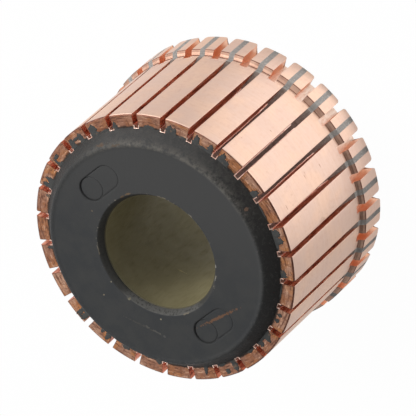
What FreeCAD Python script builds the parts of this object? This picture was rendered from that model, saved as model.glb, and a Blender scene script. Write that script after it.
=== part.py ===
import FreeCAD, Part
import math
import os

import Sketcher

# Commutator of a small motor: copper bars held by dovetail tails in a moulded hub round a bore sleeve.
# Millimetres. The shaft axis is +Z, the riser end rests at z = 0 and the brush end is at the top.
# The x axis runs through the middle of a slot, so the first bar is centred half a pitch past it.

SIZES = {
    # copper bars
    "bar_count": 28,
    "track_diameter": 40.0,
    "copper_length": 23.5,
    "bar_thickness": 2.0,
    "front_chamfer": 0.25,
    # risers, where the winding is soldered or hot-staked
    "riser_height": 0.7,
    "riser_length": 4.2,
    "shoulder_length": 0.45,
    "riser_corner_radius": 0.5,
    # dovetail tails that anchor the bars in the moulding
    "tail_offset": 6.5,
    "tail_depth": 3.0,
    "tail_angle": 30.0,
    # slots between the bars, moulded full and then sawn open from the brush end
    "slot_width": 0.8,
    "slot_depth": 2.1,
    "slot_flat_length": 6.9,
    "slot_saw_diameter": 63.0,
    # winding slots, milled into the middle of each riser from the back
    "winding_slot_width": 1.1,
    "winding_slot_depth": 0.8,
    "winding_slot_length": 5.4,
    "winding_cutter_diameter": 24.0,
    # moulded hub
    "boss_height": 2.1,
    "boss_lean": 1.5,
    "boss_edge_radius": 0.45,
    "bore_chamfer_width": 0.65,
    "bore_chamfer_depth": 0.98,
    "core_depth": 1.0,
    "core_grip": 1.0,
    # shallow marking pads on the boss, left bare
    "pad_gap": 1.42,
    "pad_turn": -6.2,
    "pad_radius": 1.78,
    "pad_spacing": 3.4,
    "pad_recess": 0.1,
    "pad_round_recess": 0.2,
    # sleeve that lines the bore
    "bore_diameter": 17.0,
    "sleeve_wall": 0.8,
    # how far a cutting outline reaches past the metal it removes
    "cut_margin": 1.0,
}

# Places that several sub-parts share, written once in terms of the sizes above.
# An outline on an upright plane has its radius as x and its height as y.
TRACK = "Sizes.track_diameter / 2"
RISER = f"({TRACK} + Sizes.riser_height)"
BAR_INSIDE = f"({TRACK} - Sizes.bar_thickness)"
TAIL_FOOT = f"({BAR_INSIDE} - Sizes.tail_depth)"
TAIL_FLARE = "Sizes.tail_depth * tan(Sizes.tail_angle)"
TAIL_BACK = "Sizes.tail_offset"
TAIL_FRONT = "(Sizes.copper_length - Sizes.tail_offset)"
SHOULDER_FOOT = "(Sizes.riser_length + Sizes.shoulder_length)"
FRONT = "Sizes.copper_length"
TOP = "(Sizes.copper_length + Sizes.boss_height)"
PAST_COPPER = f"({RISER} + Sizes.cut_margin)"
BORE = "Sizes.bore_diameter / 2"
BORE_MOUTH = f"({BORE} + Sizes.bore_chamfer_width)"
PAD_PLACE = f"({BORE_MOUTH} + Sizes.pad_gap + Sizes.pad_radius)"
SLEEVE_OUTSIDE = f"({BORE} + Sizes.sleeve_wall)"
SLEEVE_BACK = "Sizes.bore_chamfer_depth"
SLEEVE_FRONT = f"({TOP} - Sizes.bore_chamfer_depth)"
PITCH = "360 / Sizes.bar_count"
HALF_PITCH = "(180 / Sizes.bar_count)"
CORE = f"({TAIL_FOOT} - Sizes.core_depth)"
CORE_GRIP = f"({CORE} - Sizes.core_grip)"
# The underside of a bar, which the moulding fills, from the riser end to the brush end.
UNDERSIDE = [
    (BAR_INSIDE, TAIL_BACK),
    (TAIL_FOOT, f"{TAIL_BACK} - {TAIL_FLARE}"),
    (TAIL_FOOT, f"{TAIL_FRONT} + {TAIL_FLARE}"),
    (BAR_INSIDE, TAIL_FRONT),
]
SAME_PLACE = 1e-4


def make_sheet(document):
    """The spreadsheet of driving dimensions, one alias to a row."""
    sheet = document.addObject("Spreadsheet::Sheet", "Sizes")
    for row, (name, size) in enumerate(SIZES.items(), start=1):
        sheet.set(f"A{row}", name)
        sheet.set(f"B{row}", str(size))
        sheet.setAlias(f"B{row}", name)
    document.recompute()


def amount(carrier, expression):
    """What an expression comes to now, as a plain number."""
    result = carrier.evalExpression(expression)
    return float(getattr(result, "Value", result))


def add_sketch(body, name, role):
    """An empty sketch on one of the body's own origin planes."""
    sketch = body.newObject("Sketcher::SketchObject", name)
    plane = next(datum for datum in body.Origin.OriginFeatures if datum.Role == role)
    sketch.AttachmentSupport = (plane, "")
    sketch.MapMode = "FlatFace"
    return sketch


def bind(sketch, constraint, expression):
    """Add a constraint whose size follows an expression."""
    index = sketch.addConstraint(constraint)
    sketch.setExpression(f"Constraints[{index}]", expression)


def lock(sketch, geometry, end, x, y):
    """Hold one point of the sketch at a place given by two expressions."""
    bind(sketch, Sketcher.Constraint("DistanceX", geometry, end, amount(sketch, x)), x)
    bind(sketch, Sketcher.Constraint("DistanceY", geometry, end, amount(sketch, y)), y)


def arc_between(start, end, radius, side):
    """The shorter arc from start to end, whose centre lies left (side 1) or right (side -1) of the way."""
    chord = end - start
    middle = (start + end) / 2
    rise = math.sqrt(max(radius**2 - (chord.Length / 2) ** 2, 0.0))
    across = FreeCAD.Vector(-chord.y, chord.x, 0) * (side / chord.Length)
    centre = middle + across * rise
    first, last = (start, end) if side > 0 else (end, start)
    from_angle = math.atan2(first.y - centre.y, first.x - centre.x)
    to_angle = math.atan2(last.y - centre.y, last.x - centre.x)
    circle = Part.Circle(centre, FreeCAD.Vector(0, 0, 1), radius)
    return Part.ArcOfCircle(circle, from_angle, to_angle)


def outline(sketch, corners):
    """Draw a closed outline whose corners are locked to expressions.

    A corner is (x, y), or (x, y, radius, side) where an arc leaves it for the next corner.
    """
    places = [FreeCAD.Vector(amount(sketch, c[0]), amount(sketch, c[1]), 0) for c in corners]
    edges = []
    for index, corner in enumerate(corners):
        start = places[index]
        end = places[(index + 1) % len(corners)]
        if len(corner) == 2:
            edges.append((sketch.addGeometry(Part.LineSegment(start, end)), 1, 2))
            continue
        radius, side = corner[2:]
        shape = arc_between(start, end, amount(sketch, radius), side)
        geometry = sketch.addGeometry(shape)
        bind(sketch, Sketcher.Constraint("Radius", geometry, amount(sketch, radius)), radius)
        edges.append((geometry, 1, 2) if side > 0 else (geometry, 2, 1))
    for index, corner in enumerate(corners):
        geometry, begins, _ = edges[index]
        before, _, ends = edges[index - 1]
        sketch.addConstraint(Sketcher.Constraint("Coincident", before, ends, geometry, begins))
        lock(sketch, geometry, begins, corner[0], corner[1])


def saw_corners(floor, flat_end, radius, mouth, way):
    """Corners of the space that a disc cutter clears along the bar.

    The floor is flat from the mouth to flat_end, and from there follows the cutter's rim outwards.
    way is 1 where the cutter comes from the riser end and -1 where it comes from the brush end.
    """
    reach = f"({PAST_COPPER} - {floor})"
    run_out = f"sqrt({radius}^2 - ({radius} - {reach})^2)"
    rim_end = f"{flat_end} + {way} * {run_out}"
    return [
        (floor, mouth),
        (floor, flat_end, radius, -way),
        (PAST_COPPER, rim_end),
        (PAST_COPPER, mouth),
    ]


def revolve(body, sketch, angle, name):
    """Turn an upright outline round the shaft axis, to both sides of its plane."""
    turned = body.newObject("PartDesign::Revolution", name)
    turned.Profile = sketch
    turned.ReferenceAxis = (sketch, ["V_Axis"])
    turned.Midplane = True
    turned.setExpression("Angle", angle)
    return turned


def through(body, kind, sketch, width, name):
    """A pad or a pocket that reaches half its width to each side of its sketch."""
    feature = body.newObject(kind, name)
    feature.Profile = sketch
    feature.SideType = "Symmetric"
    feature.setExpression("Length", width)
    return feature


def sink(body, sketch, depth, name):
    """A pocket that goes down from its sketch."""
    pocket = body.newObject("PartDesign::Pocket", name)
    pocket.Profile = sketch
    pocket.setExpression("Length", depth)
    return pocket


def edges_where(feature, wanted):
    """Names of the edges of a feature whose end points all pass a test."""
    document = feature.Document
    document.recompute()
    names = []
    for index, edge in enumerate(feature.Shape.Edges, start=1):
        if all(wanted(vertex.Point) for vertex in edge.Vertexes):
            names.append(f"Edge{index}")
    if not names:
        raise RuntimeError(f"no edge to work on in {feature.Label}")
    return names


def make_segment(document):
    """One copper bar with its riser and dovetail tail."""
    body = document.addObject("PartDesign::Body", "Segment")
    blank = add_sketch(body, "BlankProfile", "XZ_Plane")
    outline(
        blank,
        [
            (CORE, "0"),
            (RISER, "0"),
            (RISER, "Sizes.riser_length"),
            (TRACK, SHOULDER_FOOT),
            (TRACK, f"{FRONT} - Sizes.front_chamfer"),
            (f"{TRACK} - Sizes.front_chamfer", FRONT),
            (CORE, FRONT),
        ],
    )
    revolve(body, blank, PITCH, "Blank")

    # The slots on both sides are parallel-sided, so each flank lies half a slot off the radial plane.
    flanks = add_sketch(body, "FlankCuts", "XY_Plane")
    for side in (1, -1):
        outline(flanks, slab_corners(side))
    through(body, "PartDesign::Pocket", flanks, f"2 * ({FRONT} + Sizes.cut_margin)", "Flanks")

    # The underside is flat across the bar, and leaves the tail standing between two undercuts.
    underside = add_sketch(body, "UndersideProfile", "XZ_Plane")
    below = f"({CORE} - Sizes.cut_margin)"
    outline(
        underside,
        [
            (below, "-Sizes.cut_margin"),
            (BAR_INSIDE, "-Sizes.cut_margin"),
            *UNDERSIDE,
            (BAR_INSIDE, f"{FRONT} + Sizes.cut_margin"),
            (below, f"{FRONT} + Sizes.cut_margin"),
        ],
    )
    through(body, "PartDesign::Pocket", underside, f"2 * {BAR_INSIDE} * tan({PITCH})", "Underside")

    winding = add_sketch(body, "WindingSlotProfile", "XZ_Plane")
    floor = f"({TRACK} - Sizes.winding_slot_depth)"
    radius = "(Sizes.winding_cutter_diameter / 2)"
    rise = "Sizes.winding_slot_depth"
    flat_end = f"(Sizes.winding_slot_length - sqrt({radius}^2 - ({radius} - {rise})^2))"
    outline(winding, saw_corners(floor, flat_end, radius, "-Sizes.cut_margin", 1))
    slotted = through(body, "PartDesign::Pocket", winding, "Sizes.winding_slot_width", "WindingSlot")

    half_slot = amount(slotted, "Sizes.winding_slot_width / 2")
    corners = edges_where(
        slotted,
        lambda point: abs(point.z) < SAME_PLACE and abs(abs(point.y) - half_slot) < SAME_PLACE,
    )
    rounded = body.newObject("PartDesign::Fillet", "RiserCorners")
    rounded.Base = (slotted, corners)
    rounded.setExpression("Radius", "Sizes.riser_corner_radius")
    return body


def slab_corners(side):
    """Plan of one slot, on the y side given: a parallel-sided slab across the end of the bar blank."""
    near = f"({CORE} - Sizes.cut_margin)"
    half = "Sizes.slot_width / 2"
    corners = []
    for along, off in ((near, "-1"), (PAST_COPPER, "-1"), (PAST_COPPER, "1"), (near, "1")):
        x = f"{along} * cos({HALF_PITCH}) - {off} * {half} * sin({HALF_PITCH})"
        y = f"{side} * ({along} * sin({HALF_PITCH}) + {off} * {half} * cos({HALF_PITCH}))"
        corners.append((x, y))
    return corners


def place_segments(document, body):
    """The first bar and a copy of it at every other pitch, each a sub-part of its own."""
    count = int(SIZES["bar_count"])
    segments = [body]
    for number in range(2, count + 1):
        copy = document.addObject("App::Link", f"SegmentCopy{number:02d}")
        copy.LinkedObject = body
        copy.LinkTransform = False
        segments.append(copy)
    for number, segment in enumerate(segments, start=1):
        segment.Label = f"segment_{number:02d}"
        segment.Placement = FreeCAD.Placement(
            FreeCAD.Vector(0, 0, 0), FreeCAD.Rotation(FreeCAD.Vector(0, 0, 1), number)
        )
        segment.setExpression("Placement.Rotation.Angle", f"({number} - 0.5) * {PITCH}")
    return segments


def make_sleeve(document):
    """The tube that lines the bore, held at both ends by the moulding."""
    body = document.addObject("PartDesign::Body", "Sleeve")
    wall = add_sketch(body, "SleeveWall", "XZ_Plane")
    outline(
        wall,
        [
            (BORE, SLEEVE_BACK),
            (SLEEVE_OUTSIDE, SLEEVE_BACK),
            (SLEEVE_OUTSIDE, SLEEVE_FRONT),
            (BORE, SLEEVE_FRONT),
        ],
    )
    revolve(body, wall, "360", "SleeveTube")
    body.Label = "bore_sleeve"
    return body


def make_hub(document):
    """The moulding: a core with its boss, a fill under every bar and a rib in every slot, sawn open."""
    body = document.addObject("PartDesign::Body", "Hub")
    boss_top = f"({BAR_INSIDE} - Sizes.boss_lean)"
    core = add_sketch(body, "CoreProfile", "XZ_Plane")
    outline(
        core,
        [
            (BORE, SLEEVE_BACK),
            (BORE_MOUTH, "0"),
            (CORE, "0"),
            (CORE, FRONT),
            (BAR_INSIDE, FRONT),
            (boss_top, TOP),
            (BORE_MOUTH, TOP),
            (BORE, SLEEVE_FRONT),
            (SLEEVE_OUTSIDE, SLEEVE_FRONT),
            (SLEEVE_OUTSIDE, SLEEVE_BACK),
        ],
    )
    turned = revolve(body, core, "360", "Core")

    top = amount(turned, TOP)
    edge_radius = amount(turned, boss_top)
    boss_edge = edges_where(
        turned,
        lambda point: abs(point.z - top) < SAME_PLACE
        and abs(math.hypot(point.x, point.y) - edge_radius) < SAME_PLACE,
    )
    rounded = body.newObject("PartDesign::Fillet", "BossEdge")
    rounded.Base = (turned, boss_edge)
    rounded.setExpression("Radius", "Sizes.boss_edge_radius")

    # The fill reaches under the bar from the middle of one slot's rib to the middle of the next.
    fill_profile = add_sketch(body, "FillProfile", "XZ_Plane")
    half_turn = FreeCAD.Rotation(FreeCAD.Vector(0, 1, 0), 1)
    fill_profile.AttachmentOffset = FreeCAD.Placement(FreeCAD.Vector(0, 0, 0), half_turn)
    fill_profile.setExpression("AttachmentOffset.Rotation.Angle", HALF_PITCH)
    outline(
        fill_profile,
        [(CORE_GRIP, "0"), (BAR_INSIDE, "0"), *UNDERSIDE, (BAR_INSIDE, FRONT), (CORE_GRIP, FRONT)],
    )
    fill_width = f"2 * {BAR_INSIDE} * tan({HALF_PITCH}) - Sizes.slot_width / 2"
    fill = through(body, "PartDesign::Pad", fill_profile, fill_width, "Fill")

    rib_profile = add_sketch(body, "RibProfile", "XZ_Plane")
    outline(
        rib_profile,
        [
            (CORE_GRIP, "0"),
            (RISER, "0"),
            (RISER, "Sizes.riser_length"),
            (TRACK, SHOULDER_FOOT),
            (TRACK, FRONT),
            (CORE_GRIP, FRONT),
        ],
    )
    rib = through(body, "PartDesign::Pad", rib_profile, "Sizes.slot_width", "Rib")

    saw_profile = add_sketch(body, "SawProfile", "XZ_Plane")
    floor = f"({TRACK} - Sizes.slot_depth)"
    flat_end = f"({FRONT} - Sizes.slot_flat_length)"
    mouth = f"{TOP} + Sizes.cut_margin"
    outline(saw_profile, saw_corners(floor, flat_end, "(Sizes.slot_saw_diameter / 2)", mouth, -1))
    saw = through(body, "PartDesign::Pocket", saw_profile, "Sizes.slot_width", "SawCut")

    pattern = body.newObject("PartDesign::PolarPattern", "AllSlots")
    pattern.Originals = [fill, rib, saw]
    pattern.Axis = (next(datum for datum in body.Origin.OriginFeatures if datum.Role == "Z_Axis"), [""])
    pattern.Angle = 360
    pattern.setExpression("Occurrences", "Sizes.bar_count")
    body.Tip = pattern

    sink_pads(body)
    body.Label = "moulded_hub"
    return body


def pad_sketch(body, name):
    """A sketch on the boss face, turned so that the two pads lie on its x axis."""
    sketch = add_sketch(body, name, "XY_Plane")
    sketch.AttachmentOffset = FreeCAD.Placement(
        FreeCAD.Vector(0, 0, 1), FreeCAD.Rotation(FreeCAD.Vector(0, 0, 1), 1)
    )
    sketch.setExpression("AttachmentOffset.Base.z", TOP)
    sketch.setExpression("AttachmentOffset.Rotation.Angle", "Sizes.pad_turn")
    return sketch


def sink_pads(body):
    """Two oblong pads, one on each side of the bore, each with one end sunk deeper as a round."""
    pads = pad_sketch(body, "PadOutlines")
    rounds = pad_sketch(body, "PadRounds")
    half_gap = "Sizes.pad_spacing / 2"
    for side in (1, -1):
        across = f"{side} * {PAD_PLACE}"
        outline(
            pads,
            [
                (f"{across} + Sizes.pad_radius", f"-{half_gap}"),
                (f"{across} + Sizes.pad_radius", half_gap, "Sizes.pad_radius", 1),
                (across, f"{half_gap} + Sizes.pad_radius", "Sizes.pad_radius", 1),
                (f"{across} - Sizes.pad_radius", half_gap),
                (f"{across} - Sizes.pad_radius", f"-{half_gap}", "Sizes.pad_radius", 1),
                (across, f"-{half_gap} - Sizes.pad_radius", "Sizes.pad_radius", 1),
            ],
        )
        centre = FreeCAD.Vector(amount(rounds, across), amount(rounds, half_gap), 0)
        radius = amount(rounds, "Sizes.pad_radius")
        disc = rounds.addGeometry(Part.Circle(centre, FreeCAD.Vector(0, 0, 1), radius))
        lock(rounds, disc, 3, across, half_gap)
        bind(rounds, Sketcher.Constraint("Radius", disc, radius), "Sizes.pad_radius")
    sink(body, pads, "Sizes.pad_recess", "Pads")
    sink(body, rounds, "Sizes.pad_round_recess", "PadRoundsSunk")


def check(document, parts):
    """Stop if a feature failed or a sub-part has no sound shape."""
    for item in document.Objects:
        if "Invalid" in item.State or "Error" in item.State:
            raise RuntimeError(f"{item.Label} failed: {item.State}")
    for part in parts:
        shape = Part.getShape(part)
        if shape.isNull() or not shape.isValid() or len(shape.Solids) != 1:
            raise RuntimeError(f"{part.Label} is not one sound solid")


def main():
    """Build every sub-part and write each to its own file."""
    document = FreeCAD.newDocument("commutator")
    make_sheet(document)
    segments = place_segments(document, make_segment(document))
    parts = segments + [make_hub(document), make_sleeve(document)]
    document.recompute()
    check(document, parts)
    os.makedirs("parts", exist_ok=True)
    for part in parts:
        shape = Part.getShape(part)
        shape.exportStep(os.path.join("parts", f"{part.Label}.step"))
        print(part.Label, "volume", round(shape.Volume, 3))


main()
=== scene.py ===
# %% [markdown]
# # A small motor's commutator, dressed piece by piece
#
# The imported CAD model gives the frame: twenty-eight copper bars, the moulded hub and the sleeve
# in its bore. This lesson puts finished surfaces over those solids, in the same place and size,
# and then lights them like a plain studio picture. Lengths are in millimetres, as a maker would
# give them, and turned into metres when a mesh is made.

# %% Load the frame
import math

import bmesh
import bpy
import numpy as np
from mathutils import Matrix, Vector


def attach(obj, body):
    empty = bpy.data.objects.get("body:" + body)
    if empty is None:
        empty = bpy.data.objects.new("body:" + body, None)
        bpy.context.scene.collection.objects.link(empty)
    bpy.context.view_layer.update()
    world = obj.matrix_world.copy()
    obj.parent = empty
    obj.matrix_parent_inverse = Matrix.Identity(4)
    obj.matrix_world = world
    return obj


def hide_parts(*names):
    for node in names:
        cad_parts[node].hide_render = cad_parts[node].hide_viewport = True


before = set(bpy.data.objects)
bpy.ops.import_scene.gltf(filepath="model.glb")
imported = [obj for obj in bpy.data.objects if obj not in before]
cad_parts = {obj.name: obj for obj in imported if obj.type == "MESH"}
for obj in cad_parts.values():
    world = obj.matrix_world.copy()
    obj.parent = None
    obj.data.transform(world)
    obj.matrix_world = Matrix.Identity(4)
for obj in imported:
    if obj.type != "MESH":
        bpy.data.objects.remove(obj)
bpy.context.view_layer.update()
print("CAD nodes:", len(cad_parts))

# %% [markdown]
# The main sizes are those of the part's own source. The shaft axis is Z, the risers stand on
# z = 0 and the brush end is at the top. Slot number 0 lies on the X axis, so the first bar is
# centred half a pitch past it. Neck and tail are the hidden dovetail that holds each bar.

# %% Sizes of the real part, in millimetres
MM = 0.001
BARS = 28
PITCH = 2 * math.pi / BARS
HALF = PITCH / 2
TRACK = 20.0
COPPER_END = 23.5
UNDERSIDE = 18.0
TAIL_FOOT = 15.0
NECK_BACK = 6.5
NECK_FRONT = 17.0
TAIL_BACK = 4.768
TAIL_FRONT = 18.732
HALF_SAW = 0.4
SAW_FLOOR = 17.9
SAW_RADIUS = 31.5
SAW_FLAT_END = 16.6
WINDING_HALF = 0.55
WINDING_FLOOR = 19.2
WINDING_RADIUS = 12.0
WINDING_FLAT_END = 1.092
RISER_CORNER = 0.5
BOSS_TOP = 25.6
BOSS_TOP_RADIUS = 16.5
BOSS_EDGE = 0.45
BORE = 8.5
HUB_BORE = 8.6
BORE_MOUTH = 9.15
SLEEVE_OUTSIDE = 9.3
SLEEVE_BACK = 0.98
SLEEVE_FRONT = 24.62

# %% [markdown]
# Every piece here is a grid of points: rows one way, columns the other. These helpers turn such
# a grid into quads and put whole arrays into a mesh at once, much faster than point by point.
# Points on the same place are merged, so a wall that shrinks to nothing leaves no stray faces.

# %% Helpers for grids
def grid_quads(rows, columns, close_rows=False, close_columns=False, start=0):
    """Quads of a grid whose point (row, column) is number start + row * columns + column."""
    row = np.arange(rows if close_rows else rows - 1)
    column = np.arange(columns if close_columns else columns - 1)
    r, c = np.meshgrid(row, column, indexing="ij")
    r2 = (r + 1) % rows
    c2 = (c + 1) % columns
    corners = [r * columns + c, r * columns + c2, r2 * columns + c2, r2 * columns + c]
    return (np.stack(corners, axis=-1).reshape(-1, 4) + start).tolist()


def as_grid(x, y, z):
    """Points from three sets of coordinates, spread to the shape that they have in common."""
    return np.stack(np.broadcast_arrays(x, y, z), axis=-1)


def turned_by(points, angle):
    """Points turned about the shaft axis: x and y mix by the cosine and sine of the angle."""
    x = points[..., 0] * math.cos(angle) - points[..., 1] * math.sin(angle)
    y = points[..., 0] * math.sin(angle) + points[..., 1] * math.cos(angle)
    return as_grid(x, y, points[..., 2])


def add_object(name, data):
    """A new object at the origin, put into the scene."""
    item = bpy.data.objects.new(name, data)
    bpy.context.scene.collection.objects.link(item)
    return item


def make_piece(name, points, faces, face_finish, finishes, sharp_degrees=28.0):
    """One object at the origin from points in millimetres, faces, and a finish number per face."""
    mesh = bpy.data.meshes.new(name)
    mesh.from_pydata((points.reshape(-1, 3) * MM).tolist(), [], faces)
    for finish in finishes:
        mesh.materials.append(finish)
    mesh.polygons.foreach_set("material_index", np.asarray(face_finish, np.int32))
    work = bmesh.new()
    work.from_mesh(mesh)
    bmesh.ops.remove_doubles(work, verts=work.verts, dist=0.0015 * MM)
    bmesh.ops.dissolve_degenerate(work, edges=work.edges, dist=0.0005 * MM)
    bmesh.ops.recalc_face_normals(work, faces=work.faces)
    work.to_mesh(mesh)
    work.free()
    mesh.polygons.foreach_set("use_smooth", np.ones(len(mesh.polygons), bool))
    mesh.set_sharp_from_angle(angle=math.radians(sharp_degrees))
    piece = add_object(name, mesh)
    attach(piece, "root")
    return piece


def points_of(mesh):
    """A mesh's points in millimetres, one row each."""
    place = np.empty(len(mesh.vertices) * 3)
    mesh.vertices.foreach_get("co", place)
    return place.reshape(-1, 3) / MM


def smooth_step(low, high, value):
    """0 below low, 1 above high, and an even S-curve between them."""
    t = np.clip((value - low) / (high - low), 0.0, 1.0)
    return t * t * (3 - 2 * t)

# %% [markdown]
# Every finish is worked out from Object coordinates, so a pattern stays on its piece from any
# side. The helpers below give those coordinates in millimetres, cloudy patterns at a chosen
# size, soft thresholds, coats of colour and a fine relief. They fill sockets in one way: a number
# or a colour is kept on the socket, and another node's output is linked to it. Nodes and sockets
# know their tree, so only the helpers that start a pattern are told it.

# %% Helpers for nodes
def new_finish(name):
    """A new node material, with its tree and its Principled shader."""
    finish = bpy.data.materials.new(name)
    finish.use_nodes = True
    tree = finish.node_tree
    return finish, tree, tree.nodes["Principled BSDF"]


def fill(node, values):
    """Each named input gets its value: an output is linked, a number or a colour is kept."""
    tree = node.id_data
    for name, value in values.items():
        socket = node.inputs[name]
        if isinstance(value, bpy.types.NodeSocket):
            tree.links.new(value, socket)
        elif socket.type == "RGBA":
            socket.default_value = (*value, 1)
        else:
            socket.default_value = value
    return node


def add_node(tree, kind, values):
    """A new shader node of a kind, with its inputs filled."""
    return fill(tree.nodes.new("ShaderNode" + kind), values)


def sums(kind, first, second):
    """A sum of an output and a second value: ADD, MULTIPLY, MAXIMUM and so on."""
    node = add_node(first.id_data, "Math", {0: first, 1: second})
    node.operation = kind
    return node.outputs[0]


def times(first, second):
    """The product, so that one pattern counts only as far as the other does."""
    return sums("MULTIPLY", first, second)


def measure(kind, place, direction=(0, 0, 0)):
    """One number from a place: its LENGTH, or its DOT_PRODUCT with a direction."""
    node = add_node(place.id_data, "VectorMath", {0: place, 1: direction})
    node.operation = kind
    return node.outputs["Value"]


def ramp(value, low, high, out_low=0.0, out_high=1.0):
    """Soft threshold: out_low below low, out_high above high."""
    node = add_node(value.id_data, "MapRange", {
        "Value": value, "From Min": low, "From Max": high, "To Min": out_low, "To Max": out_high,
    })
    node.interpolation_type = "SMOOTHSTEP"
    return node.outputs["Result"]

# %% Helpers for places on the part
def part_place(tree, stretch=(1, 1, 1)):
    """Object coordinates in millimetres, times a stretch along each axis."""
    place = tree.nodes.new("ShaderNodeTexCoord")
    values = {"Vector": place.outputs["Object"], "Scale": [value / MM for value in stretch]}
    return add_node(tree, "Mapping", values).outputs["Vector"]


def from_axis(tree):
    """Distance from the shaft axis in millimetres: the root of x squared plus y squared."""
    return measure("LENGTH", part_place(tree, (1, 1, 0)))


def side_of(tree, degrees):
    """How far a point lies from the axis toward a compass angle: x cos + y sin, in millimetres."""
    angle = math.radians(degrees)
    return measure("DOT_PRODUCT", part_place(tree), (math.cos(angle), math.sin(angle), 0))


def round_place(tree, outward, along):
    """Radius and way round at the track, each times a stretch, then height: for turned marks."""
    x, y, z = add_node(tree, "SeparateXYZ", {"Vector": part_place(tree)}).outputs
    joined = add_node(tree, "CombineXYZ", {
        "X": times(from_axis(tree), outward),
        "Y": times(sums("ARCTAN2", y, x), TRACK * along),
        "Z": z,
    })
    return joined.outputs["Vector"]


def speck(centre, degrees, sizes, rough):
    """A soft-edged oval patch: 1 inside, 0 outside, its rim made uneven by a cloudy pattern."""
    mapping = add_node(rough.id_data, "Mapping", {
        "Vector": part_place(rough.id_data), "Location": centre,
        "Rotation": (0, 0, math.radians(degrees)), "Scale": sizes,
    })
    mapping.vector_type = "TEXTURE"
    length = measure("LENGTH", mapping.outputs["Vector"])
    uneven = sums("ADD", length, ramp(rough, 0.4, 0.6, -0.3, 0.5))
    return ramp(uneven, 0.75, 1.1, 1.0, 0.0)

# %% Helpers for patterns and colours
def clouds(tree, fineness, detail, gain, shift=0.0, stretch=(1, 1, 1), place=None):
    """Cloudy pattern, about 0.3 to 0.7, with so many clouds to a millimetre."""
    noise = tree.nodes.new("ShaderNodeTexNoise")
    noise.noise_dimensions = "4D"
    fill(noise, {
        "Vector": place or part_place(tree, stretch),
        "Scale": fineness, "Detail": detail, "Roughness": gain, "W": shift,
    })
    return noise.outputs["Fac"]


def painted_shade_of(tree):
    """The number per point that says how much painted shade sits there; the map below writes it."""
    node = tree.nodes.new("ShaderNodeAttribute")
    node.attribute_name = "painted_shade"
    return node.outputs["Fac"]


def blend(share, first, second):
    """Colour that goes from first to second as share goes from 0 to 1."""
    node = share.id_data.nodes.new("ShaderNodeMix")
    node.data_type = "RGBA"
    a, b = [place for place, socket in enumerate(node.inputs) if socket.type == "RGBA"]
    fill(node, {"Factor": share, a: first, b: second})
    return next(socket for socket in node.outputs if socket.type == "RGBA")


def paint(colour, coats):
    """Coats of tint laid over a colour in turn, each as far as its own share says."""
    for share, tint in coats:
        colour = blend(share, colour, tint)
    return colour


def relief(shader, height, depth, under=None):
    """Fine relief on the shader's normal: height 0 to 1 stands for depth in millimetres."""
    values = {"Strength": 1.0, "Distance": depth * MM, "Height": height}
    node = add_node(shader.id_data, "Bump", values)
    if under is not None:
        fill(node, {"Normal": under})
    fill(shader, {"Normal": node.outputs["Normal"]})
    return node.outputs["Normal"]


def dress(shader, colour, pattern, smooth, rough, constants, depth=0.0):
    """Colour and constants on a shader; a pattern gives its roughness and, if deep, its relief."""
    roughness = ramp(pattern, 0.3, 0.7, smooth, rough)
    fill(shader, {"Base Color": colour, "Roughness": roughness, **constants})
    if depth > 0:
        relief(shader, pattern, depth)

# %% [markdown]
# Copper turned with a pointed tool shows fine rings round the axis. Light runs out across such
# rings, along the shaft, and the shader's anisotropy stands for that: its tangent follows the
# piece's own UV map, whose first direction is the height. The colour is the pale pink of fresh
# copper, with browner clouds, stains and a few faint handling marks, each given by its place
# and half its length.

# %% Turned copper
TRACK_MARKS = [
    (-6.14, -19.04, 14.4, 0.5), (-5.7, -19.17, 14.05, 0.3), (-7.6, -18.5, 20.9, 0.4),
    (-6.4, -18.95, 10.4, 0.35), (1.5, -19.94, 14.1, 0.25), (3.4, -19.71, 19.2, 0.2),
]
turned_copper, tree, shader = new_finish("turned_copper")
rings = clouds(tree, 1.0, 4.0, 0.6, stretch=(0.03, 0.03, 5.0))
wide = clouds(tree, 0.22, 3.0, 0.5, 2.0)
fine = clouds(tree, 1.6, 5.0, 0.65, 5.0)
stain = clouds(tree, 0.8, 4.0, 0.6, 9.0, stretch=(1, 1, 0.5))
coats = [
    (ramp(wide, 0.38, 0.62), (0.68, 0.476, 0.367)),
    (ramp(fine, 0.46, 0.72, 0.0, 0.6), (0.6, 0.4, 0.32)),
    (ramp(stain, 0.62, 0.78, 0.0, 0.5), (0.42, 0.26, 0.19)),
]
for x, y, z, long in TRACK_MARKS:
    turn = math.degrees(math.atan2(y, x)) + 90
    mark = speck((x, y, z), turn, (long, 0.5, 0.09), fine)
    coats.append((times(mark, 0.6), (0.3, 0.15, 0.1)))
colour = paint((0.63, 0.455, 0.374), coats)
dress(shader, colour, rings, 0.5, 0.6, {"Metallic": 1.0, "Anisotropic": 0.45})
along = tree.nodes.new("ShaderNodeTangent")
along.direction_type = "UV_MAP"
along.uv_map = "lathe"
fill(shader, {"Tangent": along.outputs["Tangent"]})
first = relief(shader, rings, 0.004)
relief(shader, fine, 0.003, under=first)
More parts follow.
